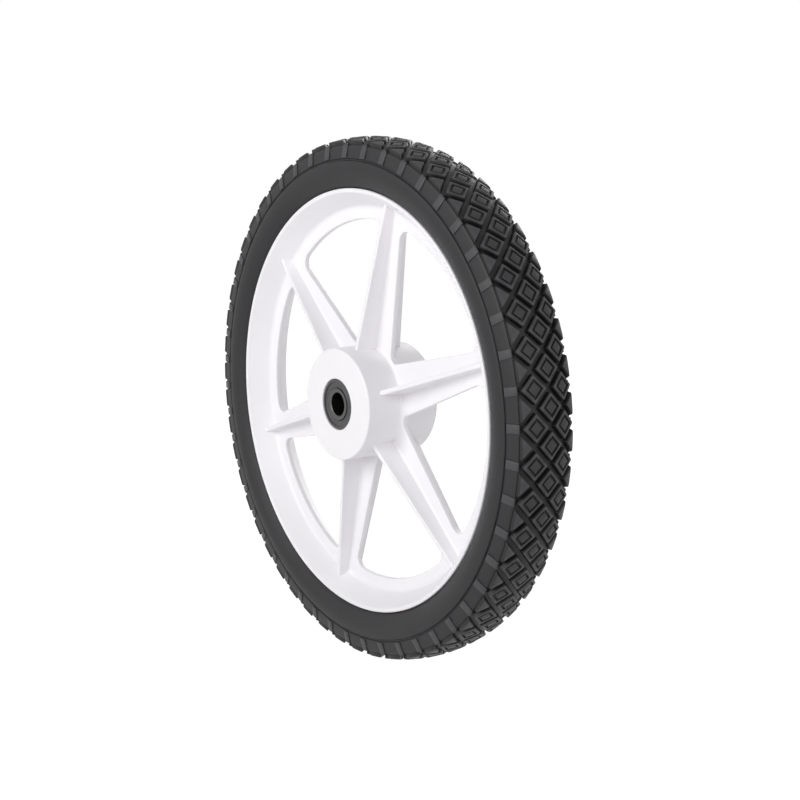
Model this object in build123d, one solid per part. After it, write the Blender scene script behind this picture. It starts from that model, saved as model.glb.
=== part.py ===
from build123d import *
from math import asin, cos, hypot, pi, radians, sin, tan
import os

# A wheel for a walk-behind garden machine: a white moulded rim with six ribbed spokes, a hollow rubber
# tyre with a diamond tread, and two sealed ball bearings that run on a spacer sleeve round the axle.
# The axle lies along Y and the shown face looks along -Y. +Z is up and the origin is the wheel's centre.
# Lengths are in millimetres and angles in degrees. Angles round the wheel run from +X towards +Z.

# Tyre
tyre_diameter = 355.6
tyre_width = 44.45
tyre_height = 34.0
seat_clearance = 0.05
neck_height = 7.0
neck_inset = 1.6
ring_height = 10.5
ring_inset = 1.3
ring_groove = 1.2
ring_groove_depth = 0.9
hollow_width = 24.0
hollow_height = 19.0

# Tread
tread_pitches = 50
tread_angle = 18.0
tread_depth = 3.0
row_spacing = 10.5
tread_groove = 2.6
tread_draft = 8.0
ridge_width = 1.5
moat_width = 1.2
moat_depth = 1.1
shoulder_drop = 3.3
lug_width = 5.4
lug_height = 1.0
lug_margin = 0.8
shoulder_inset = 0.4
block_root = 1.6

# Rim
rim_width = 35.4
rim_depth = 11.8
rim_wall = 3.2
lip_width = 2.6
lip_chamfer = 0.7
channel_floor = 8.0
web_thickness = 4.0
ledge_width = 8.5

# Spokes
spoke_count = 6
spoke_angle = 18.0
spoke_width_hub = 35.5
spoke_width_rim = 19.5
rib_base = 5.0
rib_crest = 3.0
rib_height_hub = 18.5
rib_height_rim = 9.0
window_corner = 10.0
window_root = 3.0

# Hub
hub_diameter = 76.2
hub_length = 57.15
hub_chamfer = 1.2
hub_root = 2.5
hub_face = 6.0
hub_shell = 4.5
hub_web = 3.0
bearing_tube = 5.0
bearing_recess = 0.8

# Bearings and spacer sleeve
axle_bore = 15.875
bearing_diameter = 34.925
bearing_width = 11.112
ball_diameter = 5.556
ball_count = 8
groove_clearance = 0.12
land_height = 1.85
race_chamfer = 0.5
seal_thickness = 1.2
seal_recess = 0.4
seal_step = 0.8
seal_gap = 0.25
cage_thickness = 1.9
cage_gap = 0.35
pocket_clearance = 0.15
sleeve_clearance = 0.2

# Radii and half widths that the sizes above give
tyre_r = tyre_diameter / 2
tyre_half = tyre_width / 2
crown_r = tyre_r - tread_depth
rim_edge_r = tyre_r - tyre_height
rim_half = rim_width / 2
web_half = web_thickness / 2
ledge_r = rim_edge_r - rim_depth
window_r = ledge_r - ledge_width
hub_r = hub_diameter / 2
hub_half = hub_length / 2
axle_r = axle_bore / 2
bearing_r = bearing_diameter / 2
ball_r = ball_diameter / 2
pitch_r = (axle_r + bearing_r) / 2
groove_r = ball_r + groove_clearance
inner_land_r = pitch_r - land_height
outer_land_r = pitch_r + land_height
bearing_outer_y = hub_half - bearing_recess
bearing_mid_y = bearing_outer_y - bearing_width / 2
bearing_inner_y = bearing_outer_y - bearing_width

# The rim's wall flares from the web's ledge out to the lip, and the tyre's channel follows it
wall_slope = (rim_edge_r - lip_width - ledge_r) / (rim_half - web_half)
wall_rise = rim_wall * hypot(1, wall_slope)
floor_half = channel_floor / 2
floor_r = ledge_r + (floor_half - web_half) * wall_slope + wall_rise
channel_edge_y = floor_half + (rim_edge_r - floor_r) / wall_slope

# One diamond of the tread: the lattice cell less half a groove on each side
cell_a = pi * crown_r / tread_pitches
cell_b = row_spacing
cell_side = hypot(cell_a, cell_b)
block_a = cell_a - tread_groove / 2 * cell_side / cell_b
block_b = cell_b - tread_groove / 2 * cell_side / cell_a
tread_half = row_spacing + block_b
pitch_angle = 360 / tread_pitches
shoulder_r = crown_r - shoulder_drop
crown_curve = (tread_half**2 + shoulder_drop**2) / (2 * shoulder_drop)


def turned(shape, angle):
    """Turn a shape about the axle, from +X towards +Z."""
    return Rot(0, -angle, 0) * shape


def around(shape, count, first):
    """Copies of a shape, evenly spaced round the axle."""
    return [turned(shape, first + 360 / count * i) for i in range(count)]


def spun(edges):
    """A ring about the axle, from a closed outline of radius and place along the axle."""
    return revolve(make_face(edges), Axis.Y)


def ring(inner_r, outer_r, low_y, high_y):
    """A plain ring about the axle."""
    corners = [(inner_r, low_y), (outer_r, low_y), (outer_r, high_y), (inner_r, high_y)]
    return spun(Polyline(*corners, close=True))


def mirrored_outline(half):
    """A closed outline from the points of its half on the +Y side, given from the middle outwards."""
    other = [(r, -y) for r, y in reversed(half)]
    return Polyline(*half, *other, close=True)


# Tyre


def carcass():
    """The tyre without its tread: bead in the rim's channel, bead ring, groove, lug band and crown."""
    ring_low_r = rim_edge_r + neck_height
    ring_high_r = ring_low_r + ring_height
    lift = seat_clearance * hypot(1, wall_slope)
    side = [
        (floor_r + lift, floor_half),
        (rim_edge_r + lift, channel_edge_y),
        (rim_edge_r + neck_inset, channel_edge_y + neck_inset / 2),
        (ring_low_r, tyre_half - ring_inset),
        ((ring_low_r + ring_high_r) / 2, tyre_half),
        (ring_high_r, tyre_half - ring_inset / 2),
        (ring_high_r + ring_groove / 2, tyre_half - ring_inset / 2 - ring_groove_depth),
        lug_band_foot(),
        (shoulder_r, tread_half),
    ]
    near = [(r, -y) for r, y in side]
    crown = ThreePointArc(near[-1], (crown_r, 0), side[-1])
    outline = Polyline(*reversed(near), *side) + crown
    return turned(spun(outline), pitch_angle / 4) - hollow()


def lug_band_foot():
    """The inner edge of the band that carries the shoulder lugs, just outside the groove."""
    return (rim_edge_r + neck_height + ring_height + ring_groove, tyre_half - lug_height)


def hollow():
    """The air space that lets the tyre give, a flat-sided ring midway between seat and crown."""
    middle_r = (floor_r + crown_r) / 2
    low_r = middle_r - hollow_height / 2
    high_r = middle_r + hollow_height / 2
    half = hollow_width / 2
    inset = hollow_height / 4
    sides = [(low_r, half - inset), (low_r + inset, half), (high_r - inset, half), (high_r, half - inset)]
    return spun(mirrored_outline(sides))


def diamond(inset):
    """A block's outline at its root, with its sides stepped in by the same amount all round."""
    share = 1 - inset * hypot(block_a, block_b) / (block_a * block_b)
    a = block_a * share
    b = block_b * share
    return make_face(Polyline((a, 0), (0, b), (-a, 0), (0, -b), close=True))


def tread_block(row_y):
    """One raised diamond, square to the crown at its row and rooted below it, and the plane of its top."""
    tilt = asin(row_y / crown_curve)
    drop = crown_curve * (1 - cos(tilt))
    normal = Vector(cos(tilt), sin(tilt), 0)
    seat = Vector(crown_r - drop, row_y, 0) - normal * block_root
    base = Plane(origin=seat, x_dir=(0, 0, 1), z_dir=normal)
    height = block_root + tread_depth
    return extrude(base * diamond(0), height, taper=tread_draft), base.offset(height)


def moated_block(row_y):
    """One whole diamond, with a ridge round its top and a moat between the ridge and the middle pad."""
    block, top = tread_block(row_y)
    ridge_inset = (block_root + tread_depth) * tan(radians(tread_draft)) + ridge_width
    moat = diamond(ridge_inset) - diamond(ridge_inset + moat_width)
    return block - extrude(top * moat, -moat_depth)


def half_block(side):
    """The inner half of a diamond on the shoulder, cut off just inside the line of the lug band."""
    block, _ = tread_block(side * 2 * row_spacing)
    face = shoulder_plane(side, lug_band_foot(), -shoulder_inset)
    return split(block, face, Keep.BOTTOM)


def shoulder_plane(side, along, lift):
    """A plane on the lug band, through a point of its section and lifted off it. Side is 1 or -1."""
    foot_r, foot_y = lug_band_foot()
    normal = Vector(foot_y - tread_half, side * (shoulder_r - foot_r), 0).normalized()
    point = Vector(along[0], side * along[1], 0)
    return Plane(origin=point + normal * lift, x_dir=(0, 0, 1), z_dir=normal)


def shoulder_lug(side):
    """One short bar on the shoulder, up to the tip of an outer diamond. Side is 1 or -1 along Y."""
    foot_r, foot_y = lug_band_foot()
    run = Vector(shoulder_r - foot_r, tread_half - foot_y, 0)
    length = run.length - lug_margin + lug_height / 2
    middle = Vector(foot_r, foot_y, 0) + run.normalized() * (lug_margin + length / 2)
    base = shoulder_plane(side, (middle.X, middle.Y), -lug_height)
    return extrude(base * Rectangle(lug_width, length), 2 * lug_height)


def tyre():
    """The whole tyre: the carcass with staggered rows of diamonds, half ones at the shoulders, and lugs."""
    raised = around(moated_block(0), tread_pitches, tread_angle + pitch_angle / 2)
    for side in (-1, 1):
        raised += around(moated_block(side * row_spacing), tread_pitches, tread_angle)
        raised += around(half_block(side), tread_pitches, tread_angle + pitch_angle / 2)
        raised += around(shoulder_lug(side), tread_pitches, tread_angle)
    return carcass().fuse(*raised)


# Rim


def rim_blank():
    """The moulding's turned form: hub, web and flared rim in one section."""
    half = [
        (floor_r, floor_half),
        (rim_edge_r, channel_edge_y),
        (rim_edge_r, rim_half - lip_chamfer),
        (rim_edge_r - lip_chamfer, rim_half),
        (rim_edge_r - lip_width, rim_half),
        (ledge_r, web_half),
        (hub_r + hub_root, web_half),
        (hub_r, web_half + hub_root),
        (hub_r, hub_half - hub_chamfer),
        (hub_r - hub_chamfer, hub_half),
        (bearing_r, hub_half),
        (bearing_r, bearing_inner_y),
        (outer_land_r, bearing_inner_y),
    ]
    return spun(mirrored_outline(half))


def window():
    """One opening in the web, between the spoke at angle zero and the next one."""
    root_r = hub_r + hub_root
    step = 2 * pi / spoke_count
    rim_turn = asin(spoke_width_rim / 2 / window_r)
    root_turn = asin(spoke_width_hub / 2 / root_r)

    def at(radius, turn):
        return (radius * cos(turn), -radius * sin(turn))

    outer = ThreePointArc(at(window_r, rim_turn), at(window_r, step / 2), at(window_r, step - rim_turn))
    inner = ThreePointArc(at(root_r, step - root_turn), at(root_r, step / 2), at(root_r, root_turn))
    face = make_face([outer, Line(outer @ 1, inner @ 0), inner, Line(inner @ 1, outer @ 0)])
    corners = face.vertices().sort_by(lambda v: hypot(v.X, v.Y))
    face = fillet(corners[2:], min(window_corner, outer.length / 4))
    corners = face.vertices().sort_by(lambda v: hypot(v.X, v.Y))
    face = fillet(corners[:2], min(window_root, inner.length / 3))
    return extrude(Plane.XZ * mirror(face, Plane.XZ), web_thickness, both=True)


def rib():
    """One spoke's rib, through the web to both faces, falling from the hub to the rim's wall."""
    wall_r = ledge_r + (rib_height_rim - web_half) * wall_slope
    ends = ((hub_r - hub_shell / 2, rib_height_hub), ((wall_r + floor_r) / 2, rib_height_rim))
    sections = []
    for radius, height in ends:
        side = [(rib_crest / 2, -height), (rib_base / 2, 0), (rib_crest / 2, height)]
        other = [(-x, y) for x, y in reversed(side)]
        plane = Plane(origin=(radius, 0, 0), x_dir=(0, 0, -1), z_dir=(1, 0, 0))
        sections.append(plane * make_face(Polyline(*side, *other, close=True)))
    return loft(sections, ruled=True)


def hub_core():
    """The pockets that core the hub out from its rear face, between the bearing tube and the shell."""
    core = ring(bearing_r + bearing_tube, hub_r - hub_shell, hub_face - hub_half, hub_half)
    web = Pos(hub_r / 2, 0, 0) * Box(hub_r, hub_length, hub_web)
    return core - around(web, spoke_count, spoke_angle)


def rim():
    """The one-piece wheel moulding."""
    windows = around(window(), spoke_count, spoke_angle)
    ribs = around(rib(), spoke_count, spoke_angle)
    return (rim_blank() - windows - hub_core()).fuse(*ribs)


# Bearings, built about the origin with the outer face on the -Y side


def ball_track():
    """The ring-shaped track that the balls run in."""
    return revolve(Pos(pitch_r, 0) * Circle(groove_r), Axis.Y)


def outer_race():
    half = bearing_width / 2
    step_y = half - seal_recess - seal_thickness
    section = [
        (outer_land_r, step_y),
        (outer_land_r + seal_step, step_y),
        (outer_land_r + seal_step, half),
        (bearing_r - race_chamfer, half),
        (bearing_r, half - race_chamfer),
    ]
    return spun(mirrored_outline(section)) - ball_track()


def inner_race():
    half = bearing_width / 2
    section = [
        (axle_r, half - race_chamfer),
        (axle_r + race_chamfer, half),
        (inner_land_r, half),
    ]
    return spun(mirrored_outline(section)) - ball_track()


def seal():
    """One seal, standing from its step in the outer race to just short of the inner race."""
    low_y = seal_recess - bearing_width / 2
    return ring(inner_land_r + seal_gap, outer_land_r + seal_step, low_y, low_y + seal_thickness)


def ball():
    return Pos(pitch_r, 0, 0) * Sphere(ball_r)


def cage():
    """The ring that spaces the balls, with a round pocket for each."""
    half = bearing_width / 2 - seal_recess - seal_thickness - cage_gap
    body = ring(pitch_r - cage_thickness / 2, pitch_r + cage_thickness / 2, -half, half)
    pocket = Pos(pitch_r, 0, 0) * Rot(0, 90, 0) * Cylinder(ball_r + pocket_clearance, 2 * cage_thickness)
    return body - around(pocket, ball_count, 0)


def bearing(end):
    """The pieces of one bearing by name, moved to its seat. Side -1 is the shown face, 1 the rear."""
    side = -1 if end == "front" else 1
    place = Pos(0, side * bearing_mid_y, 0)
    flip = Rot(0, 0, 180)
    pieces = {"outer_race": outer_race(), "inner_race": inner_race(), "cage": cage()}
    pieces["outer_seal"] = seal() if side < 0 else flip * seal()
    pieces["inner_seal"] = flip * seal() if side < 0 else seal()
    for i, one in enumerate(around(ball(), ball_count, 0), start=1):
        pieces[f"ball_{i}"] = one
    return {f"{end}_{name}": place * piece for name, piece in pieces.items()}


def spacer_sleeve():
    """The tube that holds the two inner races apart on the axle."""
    return ring(axle_r + sleeve_clearance, inner_land_r, -bearing_inner_y, bearing_inner_y)


nodes = {"tyre": tyre(), "rim": rim(), "spacer_sleeve": spacer_sleeve()}
nodes.update(bearing("front"))
nodes.update(bearing("rear"))

os.makedirs("parts", exist_ok=True)
for name, shape in nodes.items():
    export_step(shape, f"parts/{name}.step")
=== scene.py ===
from math import asin, cos, pi, radians, sin

import bmesh
import bpy
from mathutils import Matrix, Vector


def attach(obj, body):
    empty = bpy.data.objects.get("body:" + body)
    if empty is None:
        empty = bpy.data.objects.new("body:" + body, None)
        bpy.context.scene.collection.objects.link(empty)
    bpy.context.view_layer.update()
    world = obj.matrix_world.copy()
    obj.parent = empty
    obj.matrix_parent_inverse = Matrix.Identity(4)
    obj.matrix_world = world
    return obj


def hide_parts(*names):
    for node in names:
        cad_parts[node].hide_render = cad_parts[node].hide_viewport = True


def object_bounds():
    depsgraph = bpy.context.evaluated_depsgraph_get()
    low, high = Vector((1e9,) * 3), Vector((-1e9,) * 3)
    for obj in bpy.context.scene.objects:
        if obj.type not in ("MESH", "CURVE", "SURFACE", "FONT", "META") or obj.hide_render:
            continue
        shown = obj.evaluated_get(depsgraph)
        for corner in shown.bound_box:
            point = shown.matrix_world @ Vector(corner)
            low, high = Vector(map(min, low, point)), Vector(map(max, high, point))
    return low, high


# A white moulded wheel with a black diamond-tread tyre and two sealed ball bearings. The axle lies
# along Y, the shown face looks along -Y and the origin is the wheel's centre. Shapes are modelled in
# millimetres and scaled to metres when they are finished. Angles run from +X towards +Z.

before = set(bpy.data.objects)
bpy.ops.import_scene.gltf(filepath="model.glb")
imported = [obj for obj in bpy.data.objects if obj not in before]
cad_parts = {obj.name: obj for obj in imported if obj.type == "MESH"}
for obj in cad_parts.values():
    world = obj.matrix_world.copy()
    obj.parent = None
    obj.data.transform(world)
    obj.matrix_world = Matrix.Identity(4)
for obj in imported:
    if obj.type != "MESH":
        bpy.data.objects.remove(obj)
cad_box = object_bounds()

mm = 0.001
weld_gap = 0.004
sharp_angle = 38.0

# Tyre
crown_r = 174.8
crown_curve = 57.5
tread_edge = 19.5
shoulder_line = 20.55
tread_pitches = 50
tread_angle = 18.0
row_spacing = 10.5
lug_size = (5.4, 9.2, 2.1)
lug_r = 167.6
lug_across = 20.1
lug_run, lug_fall = 9.0, 2.0
band_normal = (0.158, 0.987, 0)

# Rim moulding
rim_edge_r = 143.8
rim_half = 17.7
ledge_r = 132.0
web_half = 2.0
window_r = 123.5
window_root_r = 40.6
spoke_count = 6
spoke_angle = 18.0
spoke_width_rim = 19.5
spoke_width_hub = 35.5
hub_r = 38.1
hub_half = 28.575
core_inner_r = 22.46
core_outer_r = 33.6
core_floor = -22.575
# Faces that lie on the web stand off it by different amounts, so that no two coincide
face_lift = 0.02
rib_lift = 0.05

# Bearings
bearing_r = 17.4625
bearing_back = 16.663
bearing_stop_r = 14.55
bearing_face = 27.775
seal_outer_r = 15.35
seal_inner_r = 11.1


# Shapes


def spin(bm, corners, steps, start=0.0, open_end=False):
    """Spin an outline of (radius, along the axle, rounding) corners about the axle."""
    old = set(bm.edges)
    verts = [bm.verts.new((r, y, 0)) for r, y, _ in corners]
    bm.faces.new(verts)
    for size in sorted({c[2] for c in corners if c[2]}):
        rounded = [v for v, c in zip(verts, corners) if c[2] == size]
        bmesh.ops.bevel(bm, geom=rounded, offset=size, offset_type="OFFSET", affect="VERTICES",
                        segments=4, profile=0.5, material=-1)
    edges = [e for e in bm.edges if e not in old]
    faces = list({f for e in edges for f in e.link_faces})
    bmesh.ops.delete(bm, geom=faces, context="FACES_ONLY")
    if open_end:
        gap = bm.edges.get((verts[0], verts[-1]))
        edges.remove(gap)
        bm.edges.remove(gap)
    loop = list({v for e in edges for v in e.verts})
    bmesh.ops.rotate(bm, verts=loop, matrix=turn(start))
    bmesh.ops.spin(bm, geom=loop + edges, axis=(0, 1, 0), angle=2 * pi, steps=steps, use_merge=True)


def turn(angle):
    """A turn about the axle, from +X towards +Z."""
    return Matrix.Rotation(-radians(angle), 4, "Y")


def around(count, first):
    """Turns that set copies evenly round the axle."""
    return [turn(first + 360 / count * i) for i in range(count)]


def both_sides(half):
    """A closed outline from its corners on the +Y side, given from the middle outwards and back."""
    return half + [(r, -y, rounding) for r, y, rounding in reversed(half)]


def add_copies(bm, shape, places):
    """Add a copy of a shape to a mesh at each place."""
    mesh = bpy.data.meshes.new("copy")
    shape.to_mesh(mesh)
    for place in places:
        copy = mesh.copy()
        copy.transform(place, shape_keys=False)
        bm.from_mesh(copy)
        bpy.data.meshes.remove(copy)
    bpy.data.meshes.remove(mesh)
    shape.free()


def block(size, rounding):
    """A block about the origin with rounded edges."""
    bm = bmesh.new()
    bmesh.ops.create_cube(bm, size=1)
    bmesh.ops.scale(bm, vec=size, verts=bm.verts)
    bmesh.ops.bevel(bm, geom=bm.edges[:], offset=rounding, offset_type="OFFSET", affect="EDGES",
                    segments=2, profile=0.5, material=-1)
    return bm


def finished(bm, name, material, body, slot, *nodes):
    """Close a mesh, scale it to metres and set it on a body in place of CAD nodes."""
    bmesh.ops.remove_doubles(bm, verts=bm.verts, dist=weld_gap)
    bmesh.ops.recalc_face_normals(bm, faces=bm.faces)
    bmesh.ops.scale(bm, vec=(mm, mm, mm), verts=bm.verts)
    mesh = bpy.data.meshes.new(name)
    bm.to_mesh(mesh)
    bm.free()
    mesh.shade_smooth()
    mesh.set_sharp_from_angle(angle=radians(sharp_angle))
    mesh.materials.append(material)
    piece = bpy.data.objects.new(name, mesh)
    bpy.context.scene.collection.objects.link(piece)
    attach(piece, body)
    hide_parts(*nodes)


# Materials


def colour(code):
    """A linear colour from an sRGB hex value."""
    parts = [int(code[i:i + 2], 16) / 255 for i in (1, 3, 5)]
    return [p / 12.92 if p <= 0.04045 else ((p + 0.055) / 1.055) ** 2.4 for p in parts] + [1]


def node(tree, kind, inputs=None, **settings):
    """Add a node. Its inputs are values or the sockets that they come from."""
    made = tree.nodes.new("ShaderNode" + kind)
    for name, value in settings.items():
        setattr(made, name, value)
    for name, value in (inputs or {}).items():
        if isinstance(value, bpy.types.NodeSocket):
            tree.links.new(value, made.inputs[name])
        else:
            made.inputs[name].default_value = value
    return made


def new_material(name):
    """An empty material and its node tree."""
    material = bpy.data.materials.new(name)
    material.use_nodes = True
    material.node_tree.nodes.clear()
    return material, material.node_tree


def white_polypropylene():
    """Moulded polypropylene: a cool white with a satin gloss and the faint waviness of a mould skin."""
    material, tree = new_material("white_polypropylene")
    place = node(tree, "TexCoord").outputs["Object"]
    # Flow in the mould leaves broad, barely seen changes of tone, 45 mm across
    flow = node(tree, "TexNoise", {"Vector": place, "Scale": 1000 / 45, "Detail": 3}).outputs["Fac"]
    tone = node(tree, "Mix", {0: flow, 6: colour("#efedf0"), 7: colour("#f4f2f5")}, data_type="RGBA")
    # The spark-eroded mould skin, 0.5 mm in truth, is drawn at 1.2 mm so that it shows
    skin = node(tree, "TexNoise", {"Vector": place, "Scale": 1000 / 1.2, "Detail": 2}).outputs["Fac"]
    gloss = node(tree, "MapRange", {"Value": skin, "To Min": 0.34, "To Max": 0.46}).outputs["Result"]
    bump = node(tree, "Bump", {"Height": skin, "Strength": 0.12, "Distance": 0.1 * mm})
    shader = node(tree, "BsdfPrincipled", {
        "Base Color": tone.outputs[2], "Roughness": gloss, "IOR": 1.49,
        "Normal": bump.outputs["Normal"]})
    node(tree, "OutputMaterial", {"Surface": shader.outputs[0]})
    return material


def black_tyre_rubber():
    """Moulded carbon-black rubber: painted shade keeps the grooves near black, painted highlights turn
    proud parts dull grey.
    """
    material, tree = new_material("black_tyre_rubber")
    place = node(tree, "TexCoord").outputs["Object"]
    part = node(tree, "SeparateXYZ", {0: place}).outputs
    flat = node(tree, "CombineXYZ", {"X": part["X"], "Y": part["Z"]}).outputs[0]
    radius = node(tree, "VectorMath", {0: flat}, operation="LENGTH").outputs["Value"]
    across = node(tree, "Math", {0: part["Y"]}, operation="ABSOLUTE").outputs[0]
    section = node(tree, "CombineXYZ", {"X": radius, "Y": across}).outputs[0]

    # Height over the crown's arc tells groove floor and moat from pad and ridge, and height over the lug
    # band tells the lugs from the plain sidewall
    centre = ((crown_r - crown_curve) * mm, 0, 0)
    arc = node(tree, "VectorMath", {0: section, 1: centre}, operation="DISTANCE").outputs["Value"]
    band = node(tree, "VectorMath", {0: section, 1: band_normal}, operation="DOT_PRODUCT").outputs["Value"]
    steps = {
        "pad": (arc, crown_curve + 2.0, crown_curve + 2.6),
        "ridge": (arc, crown_curve + 2.85, crown_curve + 3.0),
        "lug": (band, 46.95, 47.2),
        "inside": (across, 19.8, 19.3),
        "outside": (radius, 170.9, 171.3),
    }
    share = {}
    for name, (value, low, high) in steps.items():
        limits = {"Value": value, "From Min": low * mm, "From Max": high * mm}
        share[name] = node(tree, "MapRange", limits).outputs["Result"]
    # Painted shade makes the groove floor and the moat near black, and painted highlights make the pad and
    # the ridge above them lighter greys
    tread_shade_and_highlight = colour("#0b0b0c")
    for name, tint in (("pad", "#2d2d2f"), ("ridge", "#47474a")):
        mixed = node(tree, "Mix", {0: share[name], 6: tread_shade_and_highlight, 7: colour(tint)}, data_type="RGBA")
        tread_shade_and_highlight = mixed.outputs[2]
    # Painted sheen makes the lugs a lighter grey than the plain sidewall
    side = node(tree, "Mix", {0: share["lug"], 6: colour("#262628"), 7: colour("#454547")},
                data_type="RGBA")
    on_tread = node(tree, "Math", {0: share["inside"], 1: share["outside"]}, operation="MULTIPLY")
    tone = node(tree, "Mix", {0: on_tread.outputs[0], 6: side.outputs[2], 7: tread_shade_and_highlight}, data_type="RGBA")

    # Bloom and dust gather in soft patches about 25 mm across
    dust = node(tree, "TexNoise", {"Vector": place, "Scale": 1000 / 25, "Detail": 4}).outputs["Fac"]
    patch = node(tree, "Mix", {0: dust, 6: colour("#d6d6d8"), 7: colour("#ffffff")}, data_type="RGBA")
    tone = node(tree, "Mix", {0: 1, 6: tone.outputs[2], 7: patch.outputs[2]}, data_type="RGBA",
                blend_type="MULTIPLY")
    # The mould's grain, 0.3 mm in truth, is drawn at 0.9 mm so that it shows
    grain = node(tree, "TexNoise", {"Vector": place, "Scale": 1000 / 0.9, "Detail": 3}).outputs["Fac"]
    gloss = node(tree, "MapRange", {"Value": grain, "To Min": 0.46, "To Max": 0.6}).outputs["Result"]
    bump = node(tree, "Bump", {"Height": grain, "Strength": 0.25, "Distance": 0.15 * mm})
    shader = node(tree, "BsdfPrincipled", {
        "Base Color": tone.outputs[2], "Roughness": gloss, "IOR": 1.52, "Specular IOR Level": 0.3,
        "Normal": bump.outputs["Normal"]})
    node(tree, "OutputMaterial", {"Surface": shader.outputs[0]})
    return material


def ground_steel(name, tint, roughness, mark):
    """Bearing steel, turned and ground: a neutral metal with fine rings round the axle."""
    material, tree = new_material(name)
    place = node(tree, "TexCoord").outputs["Object"]
    # Grinding marks, a few hundredths of a millimetre in truth, are drawn coarser so that they show
    rings = node(tree, "TexWave", {
        "Vector": place, "Scale": 1000 / mark / 20, "Distortion": 0.6, "Detail": 2},
        wave_type="RINGS", rings_direction="Y").outputs["Fac"]
    gloss = node(tree, "MapRange", {
        "Value": rings, "To Min": roughness, "To Max": roughness * 1.5}).outputs["Result"]
    bump = node(tree, "Bump", {"Height": rings, "Strength": 0.1, "Distance": 0.02 * mm})
    shader = node(tree, "BsdfPrincipled", {
        "Base Color": colour(tint), "Metallic": 1, "Roughness": gloss, "Normal": bump.outputs["Normal"]})
    node(tree, "OutputMaterial", {"Surface": shader.outputs[0]})
    return material


def nitrile_seal():
    """Moulded nitrile rubber: near black, smoother than the tyre, with a soft satin shine."""
    material, tree = new_material("nitrile_seal")
    place = node(tree, "TexCoord").outputs["Object"]
    grain = node(tree, "TexNoise", {"Vector": place, "Scale": 1000 / 0.6, "Detail": 2}).outputs["Fac"]
    tone = node(tree, "Mix", {0: grain, 6: colour("#333335"), 7: colour("#3c3c3e")}, data_type="RGBA")
    gloss = node(tree, "MapRange", {"Value": grain, "To Min": 0.36, "To Max": 0.5}).outputs["Result"]
    shader = node(tree, "BsdfPrincipled", {
        "Base Color": tone.outputs[2], "Roughness": gloss, "IOR": 1.52})
    node(tree, "OutputMaterial", {"Surface": shader.outputs[0]})
    return material


plastic = white_polypropylene()
rubber = black_tyre_rubber()
race_steel = ground_steel("ground_race_steel", "#5c5b5a", 0.3, 0.4)
cage_steel = ground_steel("pressed_cage_steel", "#8d8b88", 0.38, 0.8)
ball_steel = ground_steel("polished_ball_steel", "#c6c6c8", 0.08, 0.3)
seal_rubber = nitrile_seal()


# Tyre


def onto_crown(point):
    """Wrap a flat point (along the tread, across it, height) round the tyre's crown."""
    angle = radians(tread_angle) + point.x / crown_r
    tilt = asin(point.y / crown_curve)
    radius = crown_r - crown_curve * (1 - cos(tilt)) + point.z * cos(tilt)
    return Vector((radius * cos(angle), point.y + point.z * sin(tilt), radius * sin(angle)))


def tread():
    """The crown as a net of diamonds: each a raised block with a ridge, a moat and a centre pad."""
    bm = bmesh.new()
    pitch = 2 * pi * crown_r / tread_pitches
    columns = tread_pitches + 1
    bmesh.ops.create_grid(bm, x_segments=columns, y_segments=2, size=0.5)
    bmesh.ops.translate(bm, vec=(0.5, 0, 0), verts=bm.verts)
    bmesh.ops.scale(bm, vec=(columns * pitch, 4 * row_spacing, 1), verts=bm.verts)
    bmesh.ops.poke(bm, faces=bm.faces[:])
    straight = []
    for e in bm.edges:
        run = e.verts[0].co - e.verts[1].co
        if not e.is_boundary and min(abs(run.x), abs(run.y)) < 0.01:
            straight.append(e)
    bmesh.ops.dissolve_edges(bm, edges=straight, use_verts=False)
    spare = []
    for f in bm.faces:
        if not 0.7 < f.calc_center_median().x / pitch < columns - 0.3:
            spare.append(f)
    bmesh.ops.delete(bm, geom=spare, context="FACES")

    for v in bm.verts:
        v.co.y = max(-shoulder_line, min(shoulder_line, v.co.y))
    diamonds = [f for f in bm.faces if len(f.verts) == 4]
    blocks = bm.faces[:]
    # From the lattice lines over the groove's floor, up the drafted wall and onto the rounded ridge
    for inward, outward in ((1.3, 0), (0.4, 2.5), (0.12, 0.35), (0.35, 0.15)):
        bmesh.ops.inset_individual(bm, faces=blocks, thickness=inward, depth=outward,
                                   use_even_offset=True)
    wall_corners = [e for e in bm.edges if abs(e.verts[0].co.z - e.verts[1].co.z) > 0.1]
    # From the ridge into the moat and up again onto the pad in the middle
    for inward, outward in ((1.2, 0), (0.3, -1.1), (0.8, 0), (0.35, 0.8), (0.3, 0.1)):
        bmesh.ops.inset_individual(bm, faces=diamonds, thickness=inward, depth=outward,
                                   use_even_offset=True)
    bmesh.ops.bevel(bm, geom=wall_corners, offset=0.6, offset_type="OFFSET", affect="EDGES",
                    segments=2, profile=0.5, material=-1)

    edge = []
    for e in bm.edges:
        if e.is_boundary and all(abs(v.co.y) > tread_edge + 0.5 for v in e.verts):
            edge.append(e)
    bmesh.ops.subdivide_edges(bm, edges=edge, cuts=2)
    for v in bm.verts:
        v.co.y = max(-tread_edge, min(tread_edge, v.co.y))
        v.co = onto_crown(v.co)
    return bm


def tyre_side():
    """Half of the tyre's section below the tread: lug band, groove, bead ring, neck and seat."""
    drop = crown_curve * (1 - cos(asin(tread_edge / crown_curve)))
    return [
        (crown_r - drop, tread_edge, 0),
        (170.2, 20.1, 0.6),
        (163.0, 21.25, 0.4),
        (162.6, 20.3, 0.3),
        (161.6, 20.3, 0.3),
        (161.3, 21.5, 0.4),
        (156.2, 22.7, 4.6),
        (150.6, 20.7, 1.4),
        (145.6, 18.2, 2.0),
        (144.2, 16.2, 0.3),
        (136.95, 4.0, 0),
    ]


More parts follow.
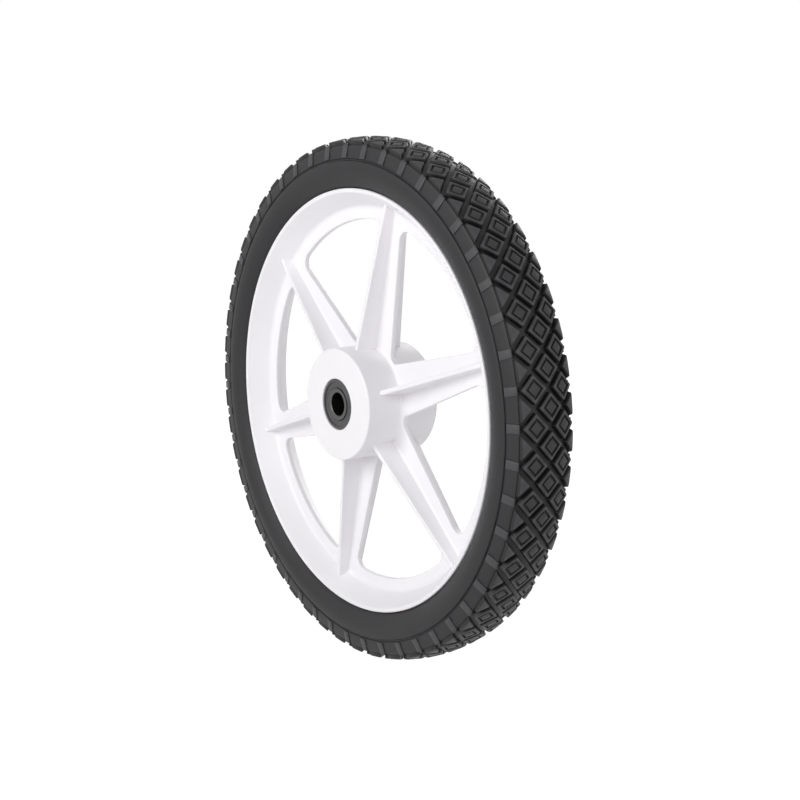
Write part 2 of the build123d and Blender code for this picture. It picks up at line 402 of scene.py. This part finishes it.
def tyre():
    """The tyre: its tread, the section below it and a ring of lugs on each shoulder."""
    bm = tread()
    spin(bm, both_sides(tyre_side()), 3 * tread_pitches, tread_angle, open_end=True)
    for side in (-1, 1):
        lug = block(lug_size, 0.45)
        run = Vector((lug_run, -lug_fall * side, 0)).normalized()
        out = Vector((lug_fall, lug_run * side, 0)).normalized()
        place = Matrix((Vector((0, 0, 1)), run, out)).transposed().to_4x4()
        place.translation = (lug_r, lug_across * side, 0)
        lug.transform(place)
        add_copies(bm, lug, around(tread_pitches, tread_angle))
    finished(bm, "tyre_moulding", rubber, "wheel", "tyre_rubber", "tyre")


# Rim moulding


def window():
    """One opening of the web as a flat loop of points, between the spoke at angle zero and the next."""
    step = 2 * pi / spoke_count
    outer = asin(spoke_width_rim / 2 / window_r)
    inner = asin(spoke_width_hub / 2 / window_root_r)
    turns = [outer + (step - 2 * outer) * i / 8 for i in range(9)]
    roots = [step - inner, step / 2, inner]
    bm = bmesh.new()
    verts = [bm.verts.new((window_r * cos(a), window_r * sin(a), 0)) for a in turns]
    verts += [bm.verts.new((window_root_r * cos(a), window_root_r * sin(a), 0)) for a in roots]
    bm.faces.new(verts)
    for ends, size in ((verts[0:9:8], 9.0), (verts[9:12:2], 2.2)):
        bmesh.ops.bevel(bm, geom=ends, offset=size, offset_type="OFFSET", affect="VERTICES",
                        segments=6, profile=0.5, material=-1)
    arc = [e for e in bm.edges if all(abs(v.co.length - window_r) < 0.01 for v in e.verts)]
    bmesh.ops.subdivide_edges(bm, edges=arc, cuts=3)
    for v in bm.verts:
        if v.co.length > window_r - 0.25:
            v.co = v.co.normalized() * window_r
    bm.faces.ensure_lookup_table()
    points = [v.co.copy() for v in bm.faces[0].verts]
    bm.free()
    return points


def web():
    """The flat web with its six windows, as a flat curve with rounded edges made into a mesh."""
    curve = bpy.data.curves.new("web", "CURVE")
    curve.dimensions = "2D"
    curve.fill_mode = "BOTH"
    rounding = 0.7
    curve.extrude = web_half - rounding
    curve.bevel_depth = rounding
    curve.bevel_resolution = 2
    curve.offset = -rounding
    loops = []
    for radius in (35.0, 134.0):
        turns = [radians(3 * i) for i in range(120)]
        loops.append([Vector((radius * cos(a), radius * sin(a), 0)) for a in turns])
    opening = window()
    for i in range(spoke_count):
        spread = Matrix.Rotation(radians(spoke_angle + 360 / spoke_count * i), 3, "Z")
        loops.append([spread @ p for p in opening])
    for loop in loops:
        spline = curve.splines.new("POLY")
        spline.points.add(len(loop) - 1)
        for point, co in zip(spline.points, loop):
            point.co = (*co, 1)
        spline.use_cyclic_u = True
    holder = bpy.data.objects.new("web", curve)
    mesh = bpy.data.meshes.new_from_object(holder)
    bpy.data.objects.remove(holder)
    bpy.data.curves.remove(curve)
    bm = bmesh.new()
    bm.from_mesh(mesh)
    bpy.data.meshes.remove(mesh)
    bm.transform(Matrix.Rotation(radians(90), 4, "X"))
    return bm


def rib():
    """One spoke's rib on the shown face: a flared foot and a rounded crest that falls to the rim."""
    start, end = 36.0, 136.5
    foot = web_half + rib_lift
    high, low = 18.5, 9.0
    half = [(5.0, 1.4, 0), (5.0, foot, 0), (2.45, foot, 1.7), (1.5, high, 0.9)]
    corners = half + [(-w, h, c) for w, h, c in reversed(half)]
    bm = bmesh.new()
    verts = [bm.verts.new((start, -h, w)) for w, h, _ in corners]
    bm.faces.new(verts)
    for size in (1.7, 0.9):
        rounded = [v for v, c in zip(verts, corners) if c[2] == size]
        bmesh.ops.bevel(bm, geom=rounded, offset=size, offset_type="OFFSET", affect="VERTICES",
                        segments=4, profile=0.5, material=-1)
    made = bmesh.ops.extrude_face_region(bm, geom=bm.faces[:])["geom"]
    far = [v for v in made if isinstance(v, bmesh.types.BMVert)]
    bmesh.ops.translate(bm, vec=(end - start, 0, 0), verts=far)
    lower = (low - foot) / (high - foot)
    bmesh.ops.scale(bm, vec=(1, lower, 1), space=Matrix.Translation((0, foot, 0)), verts=far)
    return bm


def rim():
    """The rim: the web, the flared wall, the hub with its cored rear, and ribs on both faces."""
    bm = web()
    face = web_half + face_lift
    wall = [
        (136.88, 4.0, 0),
        (143.8, 15.8, 0.3),
        (rim_edge_r, rim_half, 0.9),
        (141.2, rim_half, 0.9),
        (ledge_r, face, 2.4),
        (127.5, face, 0),
    ]
    spin(bm, both_sides(wall), 192)
    hub = [
        (bearing_stop_r, bearing_back, 0),
        (bearing_r, bearing_back, 0),
        (bearing_r, hub_half, 0.5),
    ]
    pocket = [
        (core_inner_r, hub_half, 0.5),
        (core_inner_r, core_floor, 1.5),
        (core_outer_r, core_floor, 1.5),
        (core_outer_r, hub_half, 0.5),
    ]
    shell = [(hub_r, hub_half, 1.4), (hub_r, face, 2.3), (window_root_r + 0.3, face, 0)]
    front = [(r, -y, c) for r, y, c in reversed(shell)] + [(r, -y, c) for r, y, c in reversed(hub)]
    spin(bm, hub + pocket + shell + front, 128)
    # Six ribs stand in the pocket, in line with the spokes
    core = block((14.0, 50.0, 3.0), 0.3)
    core.transform(Matrix.Translation((28.2, 3.0, 0)))
    add_copies(bm, core, around(spoke_count, spoke_angle))
    add_copies(bm, rib(), around(spoke_count, spoke_angle))
    rear = rib()
    bmesh.ops.scale(rear, vec=(1, -1, 1), verts=rear.verts)
    add_copies(bm, rear, around(spoke_count, spoke_angle))
    finished(bm, "rim_moulding", plastic, "wheel", "rim_plastic", "rim")


# Bearing seals


def seal(side, node_name):
    """A bearing's outer seal: dished, with a raised lip that wipes the inner race."""
    face = bearing_face - 0.4
    section = [
        (seal_outer_r, 0.0, 0.2), (13.9, 0.0, 0.3), (13.5, 0.3, 0.3), (12.3, 0.3, 0.3), (12.0, 0.0, 0.3),
        (11.5, -0.05, 0.2), (seal_inner_r, 0.25, 0.2), (seal_inner_r, 1.2, 0), (seal_outer_r, 1.2, 0)]
    bm = bmesh.new()
    spin(bm, [(r, side * (face - depth), rounding) for r, depth, rounding in section], 96)
    finished(bm, node_name.replace("_outer", "_lip"), seal_rubber, "wheel", "seal_rubber", node_name)


tyre()
rim()
seal(-1, "front_outer_seal")
seal(1, "rear_outer_seal")

for name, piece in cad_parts.items():
    if "ball" in name:
        finish = ball_steel
    elif "cage" in name:
        finish = cage_steel
    elif "seal" in name:
        finish = seal_rubber
    elif name == "rim":
        finish = plastic
    elif name == "tyre":
        finish = rubber
    else:
        finish = race_steel
    for place in piece.material_slots:
        place.material = finish


# Stage


def background_rays(tree):
    """One for the rays that show the background: the camera's, mirrored and transmitted ones."""
    path = node(tree, "LightPath").outputs
    seen = path["Is Camera Ray"]
    for kind in ("Is Glossy Ray", "Is Transmission Ray"):
        seen = node(tree, "Math", {0: seen, 1: path[kind]}, operation="MAXIMUM").outputs[0]
    return seen


def white_paper():
    """Seamless studio paper: matt white that keeps a soft contact shadow."""
    material, tree = new_material("white_paper")
    place = node(tree, "TexCoord").outputs["Object"]
    fibre = node(tree, "TexNoise", {"Vector": place, "Scale": 1000 / 4, "Detail": 2}).outputs["Fac"]
    tone = node(tree, "Mix", {0: fibre, 6: colour("#fbfafb"), 7: colour("#ffffff")}, data_type="RGBA")
    shade = node(tree, "BsdfDiffuse", {"Color": tone.outputs[2]})
    # The camera and mirrors see the paper lit to white, with the shadow at a fifth of its strength
    faint = node(tree, "BsdfDiffuse", {"Color": (0.2, 0.2, 0.2, 1)})
    glow = node(tree, "Emission", {"Color": colour("#ffffff"), "Strength": 0.97})
    lit = node(tree, "AddShader", {0: faint.outputs[0], 1: glow.outputs[0]})
    mixed = node(tree, "MixShader", {0: background_rays(tree), 1: shade.outputs[0], 2: lit.outputs[0]})
    node(tree, "OutputMaterial", {"Surface": mixed.outputs[0]})
    return material


def floor():
    """The studio floor that the tyre stands on."""
    bm = bmesh.new()
    bmesh.ops.create_grid(bm, x_segments=8, y_segments=8, size=4)
    bmesh.ops.translate(bm, vec=(0, 0, cad_box[0].z), verts=bm.verts)
    mesh = bpy.data.meshes.new("floor")
    bm.to_mesh(mesh)
    bm.free()
    mesh.materials.append(white_paper())
    ground = bpy.data.objects.new("floor", mesh)
    bpy.context.scene.collection.objects.link(ground)


def sky():
    """Even studio fill that the camera sees as plain white."""
    world = bpy.data.worlds.new("studio")
    world.use_nodes = True
    tree = world.node_tree
    tree.nodes.clear()
    fill, shown = 0.22, 1.0
    level = node(tree, "MapRange", {"Value": background_rays(tree), "To Min": fill, "To Max": shown})
    glow = node(tree, "Background", {"Color": colour("#ffffff"), "Strength": level.outputs["Result"]})
    node(tree, "OutputWorld", {"Surface": glow.outputs[0]})
    bpy.context.scene.world = world


def softbox(name, place, size, watts):
    """A square lamp that faces the wheel's centre."""
    lamp = bpy.data.lights.new(name, "AREA")
    lamp.size = size
    lamp.energy = watts
    holder = bpy.data.objects.new(name, lamp)
    holder.location = place
    holder.rotation_euler = (-Vector(place)).to_track_quat("-Z", "Y").to_euler()
    bpy.context.scene.collection.objects.link(holder)


def camera():
    """The viewpoint: to the right of the wheel and a little above it, aimed at its centre."""
    azimuth, elevation, distance = radians(54.65), radians(10.39), 0.8
    lens = bpy.data.cameras.new("camera")
    lens.sensor_width = 36
    lens.lens = 52.21
    lens.shift_x = 0.0364
    holder = bpy.data.objects.new("camera", lens)
    back = Vector((sin(azimuth) * cos(elevation), -cos(azimuth) * cos(elevation), sin(elevation)))
    holder.location = back * distance
    holder.rotation_euler = (pi / 2 - elevation, 0, azimuth)
    bpy.context.scene.collection.objects.link(holder)
    bpy.context.scene.camera = holder


floor()
sky()
softbox("key", (-0.1, -1.25, 0.5), 0.7, 9)
softbox("fill", (0.85, -1.0, 0.6), 0.8, 4.6)
softbox("side", (1.3, 0.25, 0.35), 0.8, 4)
softbox("back", (-0.7, 1.25, 0.4), 0.8, 9)
camera()
bpy.context.scene.view_settings.view_transform = "Standard"
